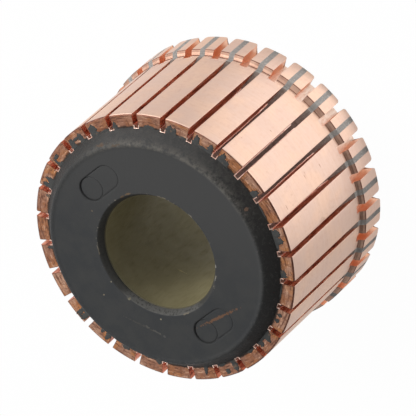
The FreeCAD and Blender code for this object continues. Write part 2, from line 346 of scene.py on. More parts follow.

# %% [markdown]
# Deep in the saw slots the copper is painted darker and redder: painted shade, and the colour of
# light that bounces between two copper walls. Dirt has run down those walls in streaks along the
# slot, and between the streaks the metal is pale. The milled winding slots are clean; their walls
# are painted strong orange for the same bounced light, and their floor is paler.

# %% Sawn and milled copper
sawn_copper, tree, shader = new_finish("sawn_copper")
score = clouds(tree, 1.2, 4.0, 0.6, stretch=(0.6, 0.6, 3.0))
dirt = clouds(tree, 0.9, 4.0, 0.6, 3.0)
runs = clouds(tree, 1.0, 5.0, 0.7, 7.0, stretch=(2.4, 2.4, 0.4))
# Painted shade and bounce light: deep in the slots the copper is darker and redder.
colour = paint((0.66, 0.19, 0.095), [
    (ramp(score, 0.35, 0.65), (0.76, 0.27, 0.145)),
    (ramp(dirt, 0.55, 0.75, 0.0, 0.7), (0.25, 0.07, 0.045)),
    (ramp(runs, 0.5, 0.6, 0.0, 0.85), (0.24, 0.075, 0.045)),
    (ramp(runs, 0.38, 0.48, 0.85, 0.0), (0.9, 0.52, 0.36)),
])
dress(shader, colour, dirt, 0.4, 0.6, {"Metallic": 0.85})
relief(shader, score, 0.01)

milled_bounce_copper, tree, shader = new_finish("milled_bounce_copper")
score = clouds(tree, 1.5, 4.0, 0.6, stretch=(2.5, 2.5, 0.6))
cloudy = clouds(tree, 0.7, 3.0, 0.5, 4.0)
# Painted bounce light: the walls' strong orange stands for light bounced between copper walls.
colour = blend(ramp(cloudy, 0.4, 0.6), (0.84, 0.42, 0.25), (0.87, 0.5, 0.34))
dress(shader, colour, score, 0.3, 0.48, {"Metallic": 1.0}, 0.01)

milled_floor, tree, shader = new_finish("milled_floor")
score = clouds(tree, 1.5, 4.0, 0.6, stretch=(2.5, 2.5, 0.6))
colour = blend(ramp(score, 0.4, 0.65), (0.86, 0.66, 0.55), (0.74, 0.5, 0.38))
dress(shader, colour, score, 0.3, 0.45, {"Metallic": 1.0}, 0.01)

# %% [markdown]
# On the shoulder, where the tool ran out of its cut and rubbed, coarser rings go round the part,
# and the copper is painted browner there: painted shade for the darker surroundings that it
# reflects. The bar ends came out of the mould: they are tarnished brown and orange in patches, with
# scraped and sooty streaks that follow the turning, and painted shade darkens them where the
# compound meets them. Round coordinates make the streaks curve with the part.

# %% Shoulder and tarnished copper
# Painted shade: the shoulder's copper is made browner for the darker surroundings it reflects.
shoulder_shade_copper, tree, shader = new_finish("shoulder_shade_copper")
rub = clouds(tree, 1.0, 4.0, 0.6, 3.0, stretch=(0.1, 0.1, 9.0))
patch = clouds(tree, 0.8, 3.0, 0.6, 3.0)
colour = blend(ramp(patch, 0.38, 0.62), (0.47, 0.3, 0.225), (0.38, 0.225, 0.165))
dress(shader, colour, rub, 0.5, 0.62, {"Metallic": 1.0}, 0.012)

tarnished_copper, tree, shader = new_finish("tarnished_copper")
bar_tone = clouds(tree, 0.13, 2.0, 0.5, 4.0)
patch = clouds(tree, 0.45, 3.0, 0.55, 1.0)
streak = clouds(tree, 1.0, 6.0, 0.68, 6.0, place=round_place(tree, 3.6, 0.7))
grain = clouds(tree, 1.0, 4.0, 0.6, 12.0, place=round_place(tree, 0.8, 2.2))
spots = clouds(tree, 2.6, 4.0, 0.6, 8.0)
# Painted shade: the bar ends darken toward the compound, which stands over them.
border_shade = sums("ADD", from_axis(tree), ramp(grain, 0.3, 0.7, -0.1, 0.1))
colour = paint((0.45, 0.188, 0.072), [
    (ramp(patch, 0.42, 0.58), (0.42, 0.236, 0.16)),
    (ramp(bar_tone, 0.42, 0.62, 0.0, 0.6), (0.27, 0.115, 0.07)),
    (ramp(streak, 0.5, 0.62, 0.0, 0.9), (0.14, 0.06, 0.04)),
    (ramp(streak, 0.34, 0.46, 0.95, 0.0), (0.68, 0.42, 0.29)),
    (ramp(grain, 0.54, 0.66, 0.0, 0.7), (0.2, 0.085, 0.05)),
    (ramp(spots, 0.56, 0.68, 0.0, 0.75), (0.12, 0.06, 0.04)),
    (ramp(border_shade, UNDERSIDE + 0.12, UNDERSIDE + 0.3, 0.9, 0.0), (0.03, 0.026, 0.023)),
])
dress(shader, colour, streak, 0.42, 0.65, {"Metallic": 0.8}, 0.015)

# %% [markdown]
# Two small finishes go on edges: pale, freshly scraped copper, and a dark line beside an edge,
# partly oxide and partly painted shade. Each varies a little along its length.

# %% Edges
bright_edge, tree, shader = new_finish("bright_copper_edge")
nicks = clouds(tree, 1.8, 4.0, 0.6, 2.0)
colour = blend(ramp(nicks, 0.4, 0.65), (0.86, 0.63, 0.53), (0.72, 0.43, 0.34))
dress(shader, colour, nicks, 0.3, 0.5, {"Metallic": 0.7}, 0.01)

# A dark line along edges: partly oxide, partly painted shade.
dark_line, tree, shader = new_finish("dark_copper_line")
nicks = clouds(tree, 1.5, 4.0, 0.6, 7.0)
colour = blend(ramp(nicks, 0.35, 0.65), (0.1, 0.035, 0.025), (0.26, 0.11, 0.07))
dress(shader, colour, nicks, 0.4, 0.6, {"Metallic": 0.7}, 0.01)

# %% [markdown]
# The moulding is a black phenolic compound with a dull skin. A pale band round the shoulder of the
# boss, thickest on one side, is partly dust from turning and partly painted sheen, with a few
# copper flecks in it, and that whole side is a little paler. On two other sides the rim is painted
# darker as shade, and the mouth of the bore is a little paler and chipped, and painted paler still
# on the side where light falls. A band comes from the distance to the axis, and a side from the
# direction round it. The specks are single crumbs and scratches, each with its place, turn, half
# sizes and tint. The fine grooves round the pads carry painted shade.

# %% Specks on the moulding
FACE_SPECKS = [
    (10.32, 2.95, 0, 0.17, 0.17, (0.18, 0.14, 0.1)),
    (-6.65, 7.28, 0, 0.15, 0.15, (0.3, 0.27, 0.2)),
    (-1.68, 9.02, 0, 0.17, 0.17, (0.2, 0.18, 0.13)),
    (1.68, 9.28, 0, 0.17, 0.17, (0.22, 0.2, 0.15)),
    (1.09, 11.85, 0, 0.13, 0.13, (0.2, 0.17, 0.12)),
    (8.5, -3.85, 66, 1.0, 0.13, (0.15, 0.1, 0.06)),
    (8.85, -2.6, 74, 0.4, 0.2, (0.12, 0.08, 0.05)),
    (4.85, -7.8, 32, 1.1, 0.12, (0.17, 0.15, 0.11)),
    (-6.6, -6.3, -46, 0.35, 0.13, (0.3, 0.29, 0.26)),
    (-7.8, -4.75, -59, 0.3, 0.1, (0.26, 0.25, 0.22)),
    (-8.55, 3.2, 70, 0.6, 0.12, (0.16, 0.14, 0.11)),
    (5.8, 7.1, -39, 0.6, 0.08, (0.15, 0.13, 0.1)),
    (-6.0, 10.32, 26, 3.4, 0.13, (0.062, 0.06, 0.056)),
    (-6.01, 10.1, 27, 0.6, 0.14, (0.09, 0.087, 0.08)),
    (-7.51, 9.48, 25, 0.7, 0.15, (0.09, 0.087, 0.08)),
    (-8.72, 8.98, 25, 0.25, 0.14, (0.085, 0.083, 0.08)),
]
SLOPE_SPECKS = [
    (15.75, -5.8, 25.1, 70, 0.9, 0.2, (0.11, 0.08, 0.06)),
    (14.3, -8.1, 25.1, 60, 0.8, 0.18, (0.11, 0.085, 0.065)),
    (-4.0, -16.6, 24.9, 0, 0.25, 0.2, (0.16, 0.1, 0.07)),
]
SPECKS = [(x, y, BOSS_TOP, *rest) for x, y, *rest in FACE_SPECKS] + SLOPE_SPECKS
print("specks on the moulding:", len(SPECKS))

# %% Moulded skin
moulded_skin, tree, shader = new_finish("moulded_skin")
radius = from_axis(tree)
grain = clouds(tree, 3.0, 5.0, 0.65)
mottle = clouds(tree, 0.35, 4.0, 0.6, 3.0)
fleck = clouds(tree, 2.4, 3.0, 0.6, 8.0)
smear = clouds(tree, 1.6, 5.0, 0.7, 11.0)
crumbs = clouds(tree, 2.2, 8.0, 0.8, 14.0)
rings = clouds(tree, 1.0, 4.0, 0.6, 5.0, stretch=(0.12, 0.12, 4.0))

# Paler toward one side: the band on the boss's shoulder is partly dust and partly painted sheen.
sheen_dust_side = side_of(tree, -60)
side = ramp(sheen_dust_side, 7.5, 15.5)
paler_side = ramp(sheen_dust_side, -4.0, 13.0, 0.0, 0.9)
band = times(ramp(radius, 15.9, 16.3), ramp(radius, 16.4, 17.2, 1.0, 0.2))
dust_and_sheen = times(times(band, side), ramp(smear, 0.36, 0.6))
flecks = times(band, ramp(fleck, 0.66, 0.74))
# Painted shade: the rim of the boss slope is darkened on two sides.
far_shade_side = ramp(side_of(tree, 225), 5.0, 14.0)
second_shade_side = ramp(side_of(tree, 14), 13.5, 16.5, 0.0, 0.6)
shaded = sums("MAXIMUM", far_shade_side, second_shade_side)
painted_rim_shade = times(shaded, ramp(radius, 15.9, 16.8, 0.0, 0.66))
rim = ramp(radius, 15.7, 16.3)
sparkle = times(rim, ramp(crumbs, 0.5, 0.8, 0.0, 0.6))

mouth = ramp(radius, BORE_MOUTH - 0.05, BORE_MOUTH + 0.03, 1.0, 0.0)
# Painted light: the chamfer at the mouth of the bore is paler on the side where light falls.
lit_mouth_side = times(mouth, ramp(side_of(tree, 135), 6.2, 7.4))
hatch = times(mouth, ramp(grain, 0.5, 0.62))
lip = times(ramp(radius, 9.08, 9.16), ramp(radius, 9.22, 9.42, 1.0, 0.0))
chips = times(lip, ramp(sums("ADD", smear, mottle), 1.1, 1.2))
scratch = speck((-11.96, -0.59, BOSS_TOP), 76.7, (3.9, 0.22, 1), grain)

coats = [
    (ramp(mottle, 0.35, 0.65), (0.05, 0.051, 0.051)),
    (paler_side, (0.06, 0.06, 0.0595)),
    (ramp(grain, 0.55, 0.8, 0.0, 0.5), (0.06, 0.058, 0.054)),
    (painted_rim_shade, (0.012, 0.011, 0.01)),
    (dust_and_sheen, (0.13, 0.121, 0.108)),
    (times(flecks, side), (0.4, 0.3, 0.24)),
    (mouth, (0.056, 0.055, 0.051)),
    (lit_mouth_side, (0.11, 0.108, 0.102)),
    (hatch, (0.045, 0.044, 0.042)),
    (chips, (0.22, 0.2, 0.16)),
    (sparkle, (0.15, 0.145, 0.135)),
]
for x, y, z, turn, long, wide, tint in SPECKS:
    coats.append((speck((x, y, z), turn, (long, wide, 1), fleck), tint))
coats.append((times(scratch, 0.75), (0.19, 0.095, 0.052)))
# Painted shade in the grooves round the pads.
coats.append((times(painted_shade_of(tree), 0.55), (0.006, 0.006, 0.006)))
colour = paint((0.04, 0.042, 0.044), coats)
dress(shader, colour, mottle, 0.5, 0.66, {"Specular IOR Level": 0.14})
first = relief(shader, grain, 0.02)
first = relief(shader, smear, 0.03, under=first)
first = relief(shader, times(rings, band), 0.05, under=first)
relief(shader, times(crumbs, rim), 0.11, under=first)

# %% [markdown]
# Where the lathe cut through the ribs, the compound shows as an even mid grey with pale grains of
# filler. Where the saw went through it, the floor is browner, with copper dust rubbed in, and
# painted darker as shade deep in the narrow slot. The thin film that crept over the bar ends is
# nearly black, with painted shade along its rims, and copper shows through it.

# %% Cut resin and film
turned_resin, tree, shader = new_finish("turned_resin")
grain = clouds(tree, 2.6, 5.0, 0.65, 1.0)
rings = clouds(tree, 1.0, 3.0, 0.5, 4.0, stretch=(0.05, 0.05, 4.0))
filler = clouds(tree, 3.2, 4.0, 0.7, 9.0)
colour = paint((0.285, 0.265, 0.25), [
    (ramp(grain, 0.35, 0.65), (0.33, 0.312, 0.29)),
    (ramp(rings, 0.5, 0.75, 0.0, 0.4), (0.165, 0.16, 0.152)),
    (ramp(filler, 0.56, 0.68, 0.0, 0.7), (0.62, 0.6, 0.57)),
])
dress(shader, colour, grain, 0.55, 0.75, {"Specular IOR Level": 0.3}, 0.01)

sawn_resin, tree, shader = new_finish("sawn_resin")
grain = clouds(tree, 2.2, 5.0, 0.65, 2.0)
score = clouds(tree, 2.0, 3.0, 0.5, 6.0, stretch=(2.0, 2.0, 0.4))
# Painted shade: the sawn floor is darker for the shade deep in the narrow slot.
colour = paint((0.15, 0.105, 0.085), [
    (ramp(grain, 0.35, 0.65), (0.24, 0.19, 0.165)),
    (ramp(score, 0.5, 0.75, 0.0, 0.6), (0.09, 0.06, 0.05)),
])
dress(shader, colour, grain, 0.55, 0.75, {"Specular IOR Level": 0.3})
relief(shader, score, 0.02)

flash_film, tree, shader = new_finish("flash_film")
grain = clouds(tree, 2.0, 5.0, 0.65, 5.0)
thin = clouds(tree, 1.1, 4.0, 0.6, 6.0)
colour = paint((0.048, 0.05, 0.049), [
    (ramp(grain, 0.35, 0.65), (0.072, 0.072, 0.069)),
    (ramp(thin, 0.56, 0.72, 0.0, 0.7), (0.3, 0.18, 0.11)),
    # Painted shade along the rims of the film.
    (painted_shade_of(tree), (0.01, 0.009, 0.008)),
])
dress(shader, colour, grain, 0.5, 0.7, {"Specular IOR Level": 0.25}, 0.02)

# %% [markdown]
# The sleeve is rolled laminate, olive brown, with faint fibres along it, a darker cut rim at the
# mouth of the bore and one paler spot inside.

# %% Laminate
laminate, tree, shader = new_finish("rolled_laminate")
wrap = clouds(tree, 0.35, 4.0, 0.6, 1.0)
fibre = clouds(tree, 2.4, 5.0, 0.65, 3.0, stretch=(1, 1, 0.25))
height = measure("DOT_PRODUCT", part_place(tree), (0, 0, 1))
# A paler spot on the bore wall.
rub = speck((-3.6, 7.7, 15.4), 25.0, (0.9, 0.6, 0.12), fibre)
colour = paint((0.24, 0.21, 0.117), [
    (ramp(wrap, 0.35, 0.65), (0.275, 0.243, 0.14)),
    (ramp(fibre, 0.5, 0.75, 0.0, 0.5), (0.19, 0.16, 0.085)),
    (ramp(height, SLEEVE_FRONT - 0.18, SLEEVE_FRONT - 0.12, 0.0, 0.75), (0.06, 0.053, 0.035)),
    (times(rub, 0.6), (0.5, 0.42, 0.2)),
])
dress(shader, colour, fibre, 0.42, 0.6, {"Specular IOR Level": 0.2}, 0.015)
print("finishes:", len(bpy.data.materials))

# %% [markdown]
# A bar's outside is turned on a lathe, riser and track in one setting, so one profile of radius
# against height serves all of it. The tool leaves a few fine rings where it runs out against the
# shoulder, and the brush end is broken by a small chamfer.

# %% The turned profile
TURNED = np.array([
    (0.0, 20.67), (0.05, 20.7), (4.12, 20.7), (4.18, 20.69), (4.24, 20.63),
    (4.3, 20.55), (4.33, 20.53), (4.42, 20.4), (4.45, 20.38), (4.55, 20.19),
    (4.63, 20.06), (4.7, 19.99), (4.78, 19.96), (4.88, 19.96), (4.94, 20.0),
    (5.02, 20.0), (5.04, 19.98), (5.1, 19.98), (5.12, 20.0), (5.44, 20.0),
    (5.46, 19.985), (5.53, 19.985), (5.55, 20.0), (23.33, 20.0), (23.41, 19.93),
    (23.47, 19.87), (23.5, 19.82),
])


def turned_radius(z):
    """Radius of the lathe-turned outside at height z, straight between the profile's points."""
    return np.interp(z, TURNED[:, 0], TURNED[:, 1])


def winding_floor(z):
    """Distance of the winding slot's floor from the axis: flat, then the cutter's rim rising."""
    along = np.clip(z - WINDING_FLAT_END, 0.0, WINDING_RADIUS)
    return WINDING_FLOOR + WINDING_RADIUS - np.sqrt(WINDING_RADIUS**2 - along**2)


def saw_floor(z):
    """Distance of the saw cut's floor from the axis: the saw's rim coming down, then flat."""
    before = np.clip(SAW_FLAT_END - z, 0.0, 20.0)
    return SAW_FLOOR + SAW_RADIUS - np.sqrt(SAW_RADIUS**2 - before**2)


heights = np.concatenate([
    TURNED[:, 0],
    [0.5, 0.95, WINDING_FLAT_END, 1.5, 2.0, 2.5, 3.0, 3.4, 3.8, 5.2, 5.28, 5.36, 5.4],
    [0.012, 0.04, 0.1, 0.17, 0.26, 0.36],
    np.arange(6.2, 23.0, 0.7),
])
HEIGHTS = np.unique(np.round(heights, 3))
print("stations along a bar:", len(HEIGHTS))

# %% [markdown]
# A bar is one loop of points in its side view, carried across its width column by column. The
# loop goes up the back face, along the turned outside, down the brush-end face and back under
# the bar round the dovetail tail. Columns inside the winding slot follow the cutter's floor. The
# edge steps say how far the outermost columns stand back from the flank and how far they drop, a
# few hundredths of a millimetre: a turned edge is crisp, never perfect.

# %% One bar as a grid
SLOT_COLUMNS = (0.0, 0.3, WINDING_HALF)
LAND_START = WINDING_HALF + RISER_CORNER
CORNER_COLUMNS = (WINDING_HALF, 0.6, 0.68, 0.78, 0.9, LAND_START)
LAND_SHARES = (0.35, 0.7, 1.0)
EDGE_START = 0.07
EDGE_STEPS = ((0.02, 0.015), (0.0, 0.05))
BACK_POINTS = 3
LAST_OUTER = BACK_POINTS + len(HEIGHTS) - 1


def flank_reach(level, flat):
    """Half width of a bar at a level: the flank plane lies half a saw cut off the slot's middle."""
    on_circle = level * np.sin(HALF - np.arcsin(HALF_SAW / level))
    on_flat = level * math.tan(HALF) - HALF_SAW / math.cos(HALF)
    return np.where(flat, on_flat, on_circle)


def corner_rise(y):
    """Height at which the back face starts: a quarter round beside the winding slot, else zero."""
    off = np.clip(LAND_START - y, 0.0, RISER_CORNER)
    return RISER_CORNER - np.sqrt(RISER_CORNER**2 - off**2)


def bar_column(kind, amount, drop=0.0):
    """The side-view loop of one column: kind says slot, corner, land or edge, amount its place."""
    rise = corner_rise(amount) if kind == "corner" else 0.0
    outer_z = np.maximum(HEIGHTS, rise)
    outer_r = turned_radius(outer_z)
    levels = np.concatenate([
        [UNDERSIDE, WINDING_FLOOR, WINDING_FLOOR], outer_r,
        [UNDERSIDE, UNDERSIDE, TAIL_FOOT, TAIL_FOOT, UNDERSIDE],
    ])
    z = np.concatenate([
        [0.0, 0.0, rise], outer_z,
        [COPPER_END, NECK_FRONT, TAIL_FRONT, TAIL_BACK, NECK_BACK],
    ])
    flat = np.ones(len(levels), bool)
    flat[BACK_POINTS:LAST_OUTER + 1] = False
    levels = levels - drop * smooth_step(5.2, 5.7, z) * ~flat
    reach = flank_reach(levels, flat)
    if kind in ("slot", "corner"):
        y = amount
    elif kind == "land":
        y = LAND_START + amount * (reach - EDGE_START - LAND_START)
    else:
        y = reach - amount
    x = np.where(flat, levels, np.sqrt(np.maximum(levels**2 - y**2, 0.0)))
    if kind == "slot":
        x = np.where(~flat, np.minimum(x, winding_floor(z)), x)
    return as_grid(x, y, z)


def half_bar():
    """Columns from a bar's middle to one flank, as an array of columns by loop points."""
    columns = [bar_column("slot", y) for y in SLOT_COLUMNS]
    columns += [bar_column("corner", y) for y in CORNER_COLUMNS]
    columns += [bar_column("land", share) for share in LAND_SHARES]
    columns += [bar_column("edge", back, drop) for back, drop in EDGE_STEPS]
    return np.array(columns)

# %% [markdown]
# Deep in each slot the saw also shaved the copper. It left a narrow bright ledge along both
# bottom corners, with the resin floor between them, and a little scraped lip where the floor
# ends at the brush side. Seen from that end the three together make a thin bright U. The ledge
# is a small cross-section swept along the saw's path.

# %% Ledges and lips in the slots
LEDGE_Y = np.array([0.43, 0.3, 0.28, 0.27, 0.43])
LEDGE_H = np.array([0.45, 0.45, 0.42, -0.06, -0.06])


def ledge_points(side):
    """The ledge's outline at each station along the saw cut: height grows from nothing."""
    z = np.concatenate([np.linspace(8.8, 16.6, 18), np.linspace(17.2, COPPER_END + 0.02, 12)])
    z = z[:, None]
    grown = smooth_step(8.0, 14.5, z) * (1 + 0.07 * np.sin(1.9 * z + side) + 0.05 * np.sin(4.3 * z))
    y = LEDGE_Y * (1 + 0.04 * np.sin(3.1 * z + 2 * side))
    return as_grid(saw_floor(z) + LEDGE_H * grown, side * np.clip(y, 0.0, 0.43), z)


def lip_points():
    """A bead, about 0.05 in radius and a little wavy, across the slot at its floor's end."""
    y = np.linspace(-0.41, 0.41, 9)[:, None]
    around = np.linspace(0, 2 * math.pi, 8, endpoint=False)
    size = 0.05 + 0.008 * np.sin(9 * y)
    return as_grid(SAW_FLOOR + 0.02 + size * np.cos(around), y, 23.57 + size * np.sin(around))


def closed_sweep(points, start):
    """Faces of a swept outline with both ends closed, numbered from a start."""
    rows, columns = points.shape[:2]
    last = start + (rows - 1) * columns
    faces = grid_quads(rows, columns, close_columns=True, start=start)
    faces.append(list(range(start, start + columns)))
    faces.append(list(reversed(range(last, last + columns))))
    return faces


def join_sweeps(parts, faces, finish, sweeps):
    """Adds closed sweeps to a piece, each turned by so many pitches, with finish numbers."""
    count = sum(len(part) for part in parts)
    for points, turns, numbers in sweeps:
        more = closed_sweep(points, count)
        parts.append(turned_by(points, turns * PITCH).reshape(-1, 3))
        count += len(parts[-1])
        faces += more
        finish += np.broadcast_to(numbers, len(more)).tolist()

# %% [markdown]
# Each strip of the grid gets the finish that its tool left: turned outside, milled winding slot,
# sawn flanks, tarnished ends and pale lines along the edges. Dark lines along edges are partly
# oxide and partly painted shade, and the browner shoulder band is painted shade. A band is a row of
# a
# table: the strips it crosses, the heights it lies between, and its finish. On five bars the rim of
# the chamfer is rubbed as pale as the track.

# %% Finishes over the grid of a bar
BAR_FINISHES = [
    turned_copper, milled_bounce_copper, milled_floor, sawn_copper,
    tarnished_copper, bright_edge, dark_line, shoulder_shade_copper,
]
(
    TURNED_NO, MILLED_NO, MILLED_FLOOR_NO, SAWN_NO,
    TARNISHED_NO, BRIGHT_NO, DARK_NO, SHOULDER_SHADE_NO,
) = range(8)
SLOT_STRIPS = len(SLOT_COLUMNS) - 1
EVERY_STRIP = slice(None)
BESIDE_SLOT = slice(SLOT_STRIPS, None)
OUTER_BANDS = [
    (EVERY_STRIP, 0.0, COPPER_END, TURNED_NO),
    # Painted shade: the shoulder band and the dark lines beside it.
    (EVERY_STRIP, 4.24, 4.9, SHOULDER_SHADE_NO),
    (BESIDE_SLOT, 4.13, 4.24, DARK_NO),
    (BESIDE_SLOT, 4.63, 4.7, DARK_NO),
    (slice(SLOT_STRIPS), 0.0, 5.4, MILLED_FLOOR_NO),
    (SLOT_STRIPS, 0.0, 5.4, MILLED_NO),
    # Partly oxide, partly painted shade: the dark line on the brush-end chamfer.
    (EVERY_STRIP, 23.33, COPPER_END, DARK_NO),
]
PALE_RIM = (EVERY_STRIP, 23.33, 23.41, TURNED_NO)
PALE_RIM_BARS = range(22, 27)


def bar_finish(half_columns, loops, bands):
    """Finish numbers for the quads of a half bar, strip by strip and along the loop."""
    finish = np.full((half_columns - 1, loops), SAWN_NO)
    middle_z = (HEIGHTS[:-1] + HEIGHTS[1:]) / 2
    for strips, low, high, number in bands:
        inside = np.flatnonzero((middle_z > low) & (middle_z < high))
        finish[strips, BACK_POINTS + inside] = number
    finish[:, :BACK_POINTS] = TARNISHED_NO
    finish[:, LAST_OUTER] = TARNISHED_NO
    # The outer edge of the brush-end face gets the same dark line, partly painted shade.
    finish[-2:, LAST_OUTER] = DARK_NO
    return finish


def make_bar(number):
    """Bar number 1 to 28, turned to its place round the shaft."""
    right = half_bar()
    points = np.concatenate([(right * (1, -1, 1))[::-1], right[1:]])
    bands = OUTER_BANDS + [PALE_RIM] * (number in PALE_RIM_BARS)
    half = bar_finish(*right.shape[:2], bands)
    numbers = np.concatenate([half[::-1], half]).reshape(-1).tolist() + [SAWN_NO, SAWN_NO]
    parts, faces, finish = [], [], []
    join_sweeps(parts, faces, finish, [
        (points, number - 0.5, numbers),
        (ledge_points(1), number - 1, BRIGHT_NO),
        (ledge_points(-1), number, BRIGHT_NO),
        (lip_points(), number, BRIGHT_NO),
    ])
    piece = make_piece(f"bar_{number:02d}", np.concatenate(parts), faces, finish, BAR_FINISHES)
    lathe_map(piece.data)
    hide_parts(f"segment_{number:02d}")
    return piece


def lathe_map(mesh):
    """UV map for the tool marks: u is the height, v the way round at the track, per 30 mm."""
    corner = np.empty(len(mesh.loops), np.int32)
    mesh.loops.foreach_get("vertex_index", corner)
    place = points_of(mesh)[corner]
    round_it = np.mod(np.arctan2(place[:, 1], place[:, 0]) + HALF, 2 * math.pi) - HALF
    uv = np.stack([place[:, 2], round_it * TRACK], axis=-1) / 30.0
    layer = mesh.uv_layers.new(name="lathe")
    layer.data.foreach_set("uv", uv.astype(np.float32).ravel())


bars = [make_bar(number) for number in range(1, BARS + 1)]
print("bars:", len(bars), "with", len(bars[0].data.polygons), "faces each")

# %% [markdown]
# The moulding is pressed round the bars as one piece. Its body is a profile turned round the
# shaft: bore mouth, flat back, hidden dovetail, boss slope, rounded edge and flat boss face. Two
# shallow marking pads are sunk in the face, and left bare here.

# %% Pads and columns of the hub
SLOT_EDGE = math.radians(1.285)
PAD_TURN = math.radians(-6.2)
PAD_OUT = 12.35
PAD_REACH = 1.7
PAD_HALF = 1.78
ROUND_END = 1.74
GROOVE = 0.085


def pad_distances(x, y):
    """Distances to the middle line of the nearest pad, and to the middle of its round end."""
    u = y * math.cos(PAD_TURN) - x * math.sin(PAD_TURN)
    v = x * math.cos(PAD_TURN) + y * math.sin(PAD_TURN)
    v = np.minimum(np.abs(v - PAD_OUT), np.abs(v + PAD_OUT))
    return np.hypot(u - np.clip(u, -PAD_REACH, PAD_REACH), v), np.hypot(u - PAD_REACH, v)


def pad_groove(x, y):
    """1 on the fine grooves round a pad and its round end, fading over about 0.08 mm."""
    line, middle = pad_distances(x, y)
    rim = np.exp(-((line - PAD_HALF) / GROOVE) ** 2)
    ring = np.exp(-((middle - ROUND_END) / GROOVE) ** 2)
    return np.maximum(rim, ring)


def pad_depth(x, y):
    """Depth below the boss face: the oblong 0.1, its round end 0.2, and the grooves a bit more."""
    line, middle = pad_distances(x, y)
    oblong = 1 - smooth_step(PAD_HALF - 0.06, PAD_HALF + 0.02, line)
    round_end = 1 - smooth_step(ROUND_END - 0.04, ROUND_END + 0.04, middle)
    return 0.1 * oblong + 0.1 * round_end + 0.07 * pad_groove(x, y)


def hub_columns():
    """Angles round the hub: even between the slots, doubled at slot edges, fine over the pads."""
    local = np.radians([-1.30, -1.27, 0.0, 1.27, 1.30, 3.0, 4.7, 6.43, 8.1, 9.8])
    even = (np.arange(BARS)[:, None] * PITCH + local).ravel()
    near = np.radians(np.arange(-16.6, 16.61, 0.27))
    every = np.concatenate([even, near + PAD_TURN, near + PAD_TURN + math.pi])
    every = np.sort(np.mod(every, 2 * math.pi))
    keep = np.concatenate([[True], np.diff(every) > math.radians(0.025)])
    return every[keep]


HUB_ANGLES = hub_columns()
print("columns round the hub:", len(HUB_ANGLES))

# %% The hub's profile
def hub_profile():
    """Radius, height and flatness along the hub's loop, which starts at the back of the bore."""
    slope_z = np.array([COPPER_END, 23.56, 23.64, 23.8, 24.1, 24.4, 24.7, 25.0, 25.2])
    slope_r = UNDERSIDE - (slope_z - COPPER_END) * 1.5 / 2.1
    lean = math.atan2(2.1, 1.5)
    reach = BOSS_EDGE / math.tan((math.pi - lean) / 2)
    swing = np.linspace(math.pi / 2 - lean, math.pi / 2, 7)
    edge_r = BOSS_TOP_RADIUS - reach + BOSS_EDGE * np.cos(swing)
    edge_z = BOSS_TOP - BOSS_EDGE + BOSS_EDGE * np.sin(swing)
    face_r = np.concatenate([[15.7, 15.1], np.arange(14.5, 10.35, -0.058), [10.0, 9.6, 9.3, 9.19]])
    face_z = np.full(len(face_r), BOSS_TOP)
    mouth_r = np.array([9.14, 8.98, 8.8, 8.62])
    mouth_z = np.array([25.575, 25.34, 25.06, 24.76])
    back_r = np.array([HUB_BORE, 8.75, 9.12, 9.2, 10.5, 12.0, 13.5, 15.0, 16.5, 17.5])
    back_z = np.array([SLEEVE_BACK, 0.68, 0.04, 0, 0, 0, 0, 0, 0, 0])
    hidden_r = np.array([UNDERSIDE, UNDERSIDE, TAIL_FOOT, TAIL_FOOT, UNDERSIDE])
    hidden_z = np.array([0.0, NECK_BACK, TAIL_BACK, TAIL_FRONT, NECK_FRONT])
    inside_r = np.array([HUB_BORE, SLEEVE_OUTSIDE, SLEEVE_OUTSIDE])
    inside_z = np.array([SLEEVE_FRONT, SLEEVE_FRONT, SLEEVE_BACK])
    r = np.concatenate([back_r, hidden_r, slope_r, edge_r, face_r, mouth_r, inside_r])
    z = np.concatenate([back_z, hidden_z, slope_z, edge_z, face_z, mouth_z, inside_z])
    flat = (r >= TAIL_FOOT) & (z <= COPPER_END) & (np.arange(len(r)) >= len(back_r))
    return r, z, flat


def hub_points():
    """Every profile point at every angle; flats under the bars, a nick where the saw passed."""
    r, z, flat = hub_profile()
    angle = HUB_ANGLES[:, None]
    to_bar = np.mod(angle, PITCH) - HALF
    in_slot = HALF - np.abs(to_bar) < SLOT_EDGE
    radius = np.where(flat, r / np.cos(to_bar), r)
    sawn = (z < 23.65) & (z > 0) & (r > SAW_FLOOR - 0.05)
    radius = np.where(in_slot & sawn, SAW_FLOOR - 0.02, radius)
    x = radius * np.cos(angle)
    y = radius * np.sin(angle)
    face = (np.abs(z - BOSS_TOP) < 0.001) & (radius < BOSS_TOP_RADIUS)
    return as_grid(x, y, z - np.where(face, pad_depth(x, y), 0.0))

# %% [markdown]
# Between the bars stand ribs of the same moulding. They are turned flush with the copper at the
# riser, and a disc saw then opens them from the brush end. Its rim leaves the curved run-out
# that shows as a grey tip at the end of each slot. A rib is a line in side view, carried across
# the saw's width.

# %% Ribs between the bars
SAW_START = 5.3
RIB_FOOT = 17.0


def rib_points():
    """A rib's top line, flush with the copper and then as the saw left it, across its width."""
    z = np.concatenate([TURNED[:20, 0], np.linspace(SAW_START, SAW_FLAT_END, 26), [20.0, 23.63]])
    z = np.unique(np.round(z, 3))[:, None]
    level = np.minimum(turned_radius(z), np.where(z > 5.0, saw_floor(z), TRACK + 1))
    across = np.array([-HALF_SAW, -HALF_SAW, -0.2, 0.0, 0.2, HALF_SAW, HALF_SAW])
    buried = np.array([True, False, False, False, False, False, True])
    x = np.where(buried, RIB_FOOT, np.sqrt(level**2 - across**2))
    x = np.where((level < TRACK - 0.03) & ~buried, level, x)
    return as_grid(x, across, z)
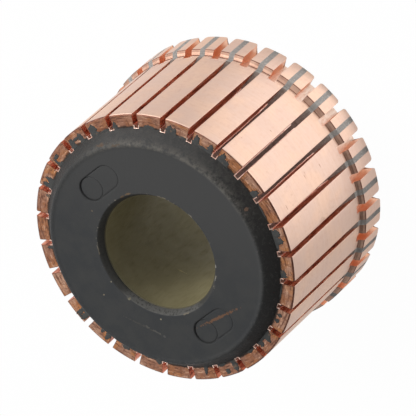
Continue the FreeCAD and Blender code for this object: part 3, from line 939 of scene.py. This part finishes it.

# %% [markdown]
# A little compound creeps out over the ends of the bars while the mould is closed. It sets as
# thin dark tongues of film, different on each bar. The list gives each tongue's place across the
# bar, half its width and its height up the end face, as read from the photograph. A
# fourth number leans its tip, and a fifth lifts its foot off the boss, for a spot.

# %% Film over the bar ends
TONGUES = {
    28: [(1.15, 0.5, 1.4), (-0.7, 0.5, 1.4, 0.1), (0.25, 0.75, 1.15, 0, 0.65)],
    27: [(0.95, 0.75, 1.55, 0.05), (-0.8, 0.9, 0.25)],
    26: [(1.35, 0.42, 1.0)],
    25: [(0.1, 0.9, 0.5), (-0.5, 0.3, 0.35)],
    24: [(1.1, 0.55, 1.3, -0.1), (0.35, 0.45, 1.05), (-0.9, 0.8, 0.22)],
    23: [(1.05, 0.55, 1.5), (-1.15, 0.45, 1.5), (0.0, 1.5, 0.4)],
    22: [(1.0, 0.55, 1.5), (0.3, 0.6, 0.85)],
    21: [(-1.15, 0.5, 1.25, -0.15)],
    20: [(0.3, 1.3, 0.18)],
    19: [(0.95, 0.6, 1.2), (-0.1, 0.65, 1.35, -0.1), (-0.7, 0.8, 0.45)],
    18: [(-0.9, 0.55, 0.8), (-1.3, 0.25, 1.0)],
    17: [(0.2, 1.2, 0.18)],
    16: [(0.7, 0.3, 1.0, 0, 0.2), (-0.3, 0.35, 0.9, 0, 0.15)],
    15: [(0.65, 0.75, 0.85, 0.1), (0.3, 0.35, 1.35), (-1.05, 0.5, 0.9), (-0.3, 0.6, 0.3)],
    14: [(0.7, 0.7, 0.4)],
    13: [(1.15, 0.5, 1.8), (-0.9, 0.8, 0.4), (-0.4, 0.42, 1.7, 0, 0.85)],
    12: [(0.5, 0.32, 1.25, -0.3)],
    10: [(1.15, 0.45, 0.6)],
    9: [(0.0, 0.7, 0.8)],
    8: [(1.2, 0.42, 1.45), (0.15, 0.3, 0.95)],
    7: [(1.2, 0.45, 1.75), (0.35, 0.4, 1.75), (0.75, 0.9, 0.6), (0.75, 0.6, 1.75, 0, 1.25)],
    5: [(-1.35, 0.25, 0.9)],
    3: [(-1.2, 0.25, 0.6)],
    2: [(1.25, 0.4, 1.4, 0.1), (0.45, 0.45, 1.35, -0.15), (0.8, 0.9, 0.7)],
    1: [(1.2, 0.3, 1.25, 0.1), (0.7, 0.6, 1.5, 0, 0.9), (0.9, 0.4, 0.4)],
}


def tongue_points(middle, half, height, lean=0.0, foot=0.0, seed=0):
    """A tongue of film, half an ellipse wide (a whole one if it has a foot), domed 0.05 mm up."""
    rng = np.random.default_rng(seed)
    wave = rng.uniform(0, 6.28, 5)
    up = np.linspace(0.0, 1.0, 22)[:, None]
    across = np.linspace(-1.0, 1.0, 11)
    low = foot - 0.04 * (foot == 0)
    ragged = 1 + 0.13 * np.sin(8 * up + wave[0]) + 0.12 * np.sin(19 * up + wave[1])
    dome = (1 - np.abs(across) ** 5) * (1 - up**8)
    crest = 0.09 * np.sin(3 * across + wave[3]) + 0.05 * np.sin(8 * across + wave[4])
    crest = height * crest * up**2 * (foot == 0)
    if foot > 0:
        width = half * np.sqrt(np.clip(1.0 - (2 * up - 1) ** 2, 0.0, 1.0)) * ragged
        dome = dome * (1 - (1 - up) ** 8)
    else:
        width = half * np.sqrt(np.clip(1.0 - up**3, 0.0, 1.0)) * ragged
        width = width + 0.15 * np.exp(-up / 0.1)
    width = np.minimum(width, half * 1.25) * (up < 0.999)
    y = middle + lean * up + width * across + 0.07 * half * np.sin(15 * up + wave[2])
    x = UNDERSIDE + low + (height - low) * up + crest
    top = as_grid(x, y, COPPER_END - 0.01 + 0.06 * dome)
    under = as_grid(x, y, COPPER_END - 0.03)
    return np.concatenate([top, under[:, ::-1]], axis=1)


SKIN_NO, TURNED_RIB_NO, SAWN_RIB_NO, FILM_NO = range(4)


def hub_piece():
    """The body, its ribs and the film as one moulding."""
    body = hub_points()
    faces = grid_quads(*body.shape[:2], close_rows=True, close_columns=True)
    finish = [SKIN_NO] * len(faces)
    parts = [body.reshape(-1, 3)]
    rib = rib_points()
    middle_z = (rib[:-1, 3, 2] + rib[1:, 3, 2]) / 2
    strips = np.where(middle_z > SAW_START, SAWN_RIB_NO, TURNED_RIB_NO)
    rib_finish = np.repeat(strips, rib.shape[1]).tolist() + [TURNED_RIB_NO, SAWN_RIB_NO]
    sweeps = [(rib, slot_number, rib_finish) for slot_number in range(BARS)]
    for number, tongues in TONGUES.items():
        for place, tongue in enumerate(tongues):
            film = tongue_points(*tongue, seed=10 * number + place)
            sweeps.append((film, number - 0.5, FILM_NO))
    join_sweeps(parts, faces, finish, sweeps)
    finishes = [moulded_skin, turned_resin, sawn_resin, flash_film]
    return make_piece("hub", np.concatenate(parts), faces, finish, finishes, 35.0)


def painted_shade_map(mesh):
    """Painted shade per point, 0 to 1: in the grooves of the pads, and along the rims of the film.
    """
    x, y, z = points_of(mesh).T
    radius = np.hypot(x, y)
    on_face = (z > BOSS_TOP - 0.4) & (radius < 15.5)
    amount = np.where(on_face, pad_groove(x, y), 0.0)
    at_end = (np.abs(z - COPPER_END - 0.01) < 0.06) & (radius > UNDERSIDE - 0.2)
    amount = np.where(at_end, 1 - smooth_step(COPPER_END, COPPER_END + 0.04, z), amount)
    layer = mesh.attributes.new("painted_shade", "FLOAT", "POINT")
    layer.data.foreach_set("value", amount.astype(np.float32))


hub = hub_piece()
painted_shade_map(hub.data)
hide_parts("moulded_hub")
print("hub triangles:", sum(len(face.vertices) - 2 for face in hub.data.polygons))

# %% [markdown]
# The bore is lined with a tube of laminate. Its inner edges are slightly broken, and the cut rim
# at the brush end shows as a thin dark ring inside the mouth of the bore.

# %% Sleeve
def sleeve_points(columns=192):
    """A closed tube profile turned round the shaft, its inner edges broken by a tenth."""
    edge = BORE + 0.1
    r = np.array([BORE, edge, SLEEVE_OUTSIDE, SLEEVE_OUTSIDE, edge, *[BORE] * 4])
    ends = [SLEEVE_BACK, SLEEVE_BACK, SLEEVE_FRONT, SLEEVE_FRONT]
    z = np.array([SLEEVE_BACK + 0.1, *ends, SLEEVE_FRONT - 0.12, 18.0, 12.0, 6.0])
    angle = np.linspace(0, 2 * math.pi, columns, endpoint=False)[:, None]
    return as_grid(r * np.cos(angle), r * np.sin(angle), z)


tube = sleeve_points()
tube_faces = grid_quads(*tube.shape[:2], close_rows=True, close_columns=True)
sleeve = make_piece("sleeve", tube, tube_faces, [0] * len(tube_faces), [laminate])
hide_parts("bore_sleeve")
print("sleeve faces:", len(sleeve.data.polygons))

# %% [markdown]
# The part stands on a plain pale floor. To the camera and to shiny metal the floor is nearly
# white, but a share of it stays an ordinary matt surface, so the part still throws a faint shadow.

# %% Floor
FLOOR_REACH = 1500.0
FLOOR_POINTS = 9
WHITE_SHARE = 0.98


def white_rays(tree):
    """1 for camera, glossy and transmission rays, 0 for the rest."""
    path = tree.nodes.new("ShaderNodeLightPath")
    either = sums("MAXIMUM", path.outputs["Is Camera Ray"], path.outputs["Is Glossy Ray"])
    return sums("MAXIMUM", either, path.outputs["Is Transmission Ray"])


def flat_floor(reach):
    """A square grid of points just under the risers' ends."""
    along = np.linspace(-reach, reach, FLOOR_POINTS)
    x, y = np.meshgrid(along, along, indexing="ij")
    return as_grid(x, y, -0.05)


floor_finish, tree, shader = new_finish("pale_floor")
fill(shader, {"Base Color": (0.9, 0.9, 0.9), "Roughness": 0.9, "Specular IOR Level": 0.0})
glow = add_node(tree, "Emission", {"Strength": 1.0})
mix = add_node(tree, "MixShader", {
    "Fac": times(white_rays(tree), WHITE_SHARE),
    1: shader.outputs["BSDF"],
    2: glow.outputs["Emission"],
})
fill(tree.nodes["Material Output"], {"Surface": mix.outputs["Shader"]})

floor_points = flat_floor(FLOOR_REACH).reshape(-1, 3) * MM
floor_mesh = bpy.data.meshes.new("floor")
floor_mesh.from_pydata(floor_points.tolist(), [], grid_quads(FLOOR_POINTS, FLOOR_POINTS))
floor_mesh.materials.append(floor_finish)
floor = add_object("floor", floor_mesh)
print("floor faces:", len(floor_mesh.polygons))

# %% [markdown]
# The world is soft and even: white for the camera and for shiny metal, with one dark patch high
# on the far side, as an open room above a tent would be. What lights the matt surfaces is a
# lower, neutral level.

# %% World
WORLD_LEVEL = 0.24
world = bpy.data.worlds.new("studio")
bpy.context.scene.world = world
world.use_nodes = True
sky = world.node_tree
background = fill(sky.nodes["Background"], {"Color": (1, 1, 1), "Strength": WORLD_LEVEL})
ways = sky.nodes.new("ShaderNodeTexCoord")
high = measure("DOT_PRODUCT", ways.outputs["Generated"], (-0.6, -0.1, 0.8))
seen = add_node(sky, "Background", {
    "Color": blend(ramp(high, 0.55, 0.92), (1, 1, 1), (0.06, 0.06, 0.06)),
    "Strength": 1.0,
})
sky_mix = add_node(sky, "MixShader", {
    "Fac": white_rays(sky),
    1: background.outputs["Background"],
    2: seen.outputs["Background"],
})
fill(sky.nodes["World Output"], {"Surface": sky_mix.outputs["Shader"]})
print("world level:", WORLD_LEVEL)

# %% [markdown]
# Four area lamps shape the part. A key stands on one side and above, and a weak low fill on the
# other. A small light table lies on the floor in front: the tracks face down towards it, so it
# brightens the nearest ones, as the bright paper under the part did in the photograph. A faint
# one lies under the open bore, for the light that reaches its far end.

# %% Lamps
def area_lamp(name, wide, tall, watts, turn):
    """A rectangular lamp, placed and turned by one matrix: radiance = watts / (pi area)."""
    light = bpy.data.lights.new(name, "AREA")
    light.shape = "RECTANGLE"
    light.size = wide
    light.size_y = tall
    light.energy = watts
    lamp = add_object(name, light)
    lamp.matrix_world = turn
    return lamp


def soft_lamp(name, way, distance, wide, tall, watts):
    """A lamp at a distance along a direction from the part's middle height, facing it."""
    place = Vector(way).normalized() * distance
    facing = place.to_track_quat("Z", "Y").to_matrix().to_4x4()
    middle = Vector((0, 0, 0.012))
    return area_lamp(name, wide, tall, watts, Matrix.Translation(place + middle) @ facing)


def light_table(name, place, wide, deep, watts):
    """A lamp lying on the floor, facing up, unseen by the camera."""
    turn = Matrix.Translation((*place, 0.0001)) @ Matrix.Rotation(math.pi, 4, "X")
    lamp = area_lamp(name, wide, deep, watts, turn)
    lamp.visible_camera = False
    return lamp


lamps = [
    soft_lamp("key_lamp", (0.66, 0.05, 0.75), 0.6, wide=0.38, tall=0.38, watts=3.25),
    soft_lamp("fill_lamp", (-0.75, -0.62, 0.16), 0.6, wide=0.5, tall=0.2, watts=0.19),
    light_table("light_table", (-0.006, -0.0715), wide=0.056, deep=0.1, watts=0.019),
    light_table("bore_glow", (0.0, 0.0), wide=0.012, deep=0.012, watts=0.00028),
]
print("lamps:", [lamp.name for lamp in lamps])

# %% [markdown]
# The camera stands where the photograph's did: 49 degrees above level, and rolled well over, so
# the risers point to the upper right. It is far away with a long lens, so perspective is slight.

# %% Camera
AZIMUTH = math.radians(-1.8496)
ELEVATION = math.radians(49.2437)
ROLL = math.radians(-131.943)
DISTANCE = 749.59
AIM = Vector((0.0273, -0.7364, 12.0))

back = Vector((
    math.sin(AZIMUTH) * math.cos(ELEVATION),
    -math.cos(AZIMUTH) * math.cos(ELEVATION),
    math.sin(ELEVATION),
))
level_right = Vector((math.cos(AZIMUTH), math.sin(AZIMUTH), 0))
level_up = back.cross(level_right)
right = level_right * math.cos(ROLL) + level_up * math.sin(ROLL)
up = level_up * math.cos(ROLL) - level_right * math.sin(ROLL)
lens = bpy.data.cameras.new("camera")
lens.sensor_width = 36.0
lens.lens = 475.55
lens.clip_start = 0.05
lens.clip_end = 20.0
camera = add_object("camera", lens)
turn = Matrix((right, up, back)).transposed().to_4x4()
camera.matrix_world = Matrix.Translation((AIM + back * DISTANCE) * MM) @ turn
bpy.context.scene.camera = camera
bpy.context.scene.view_settings.view_transform = "Standard"
print("camera at", tuple(round(v, 3) for v in camera.location))
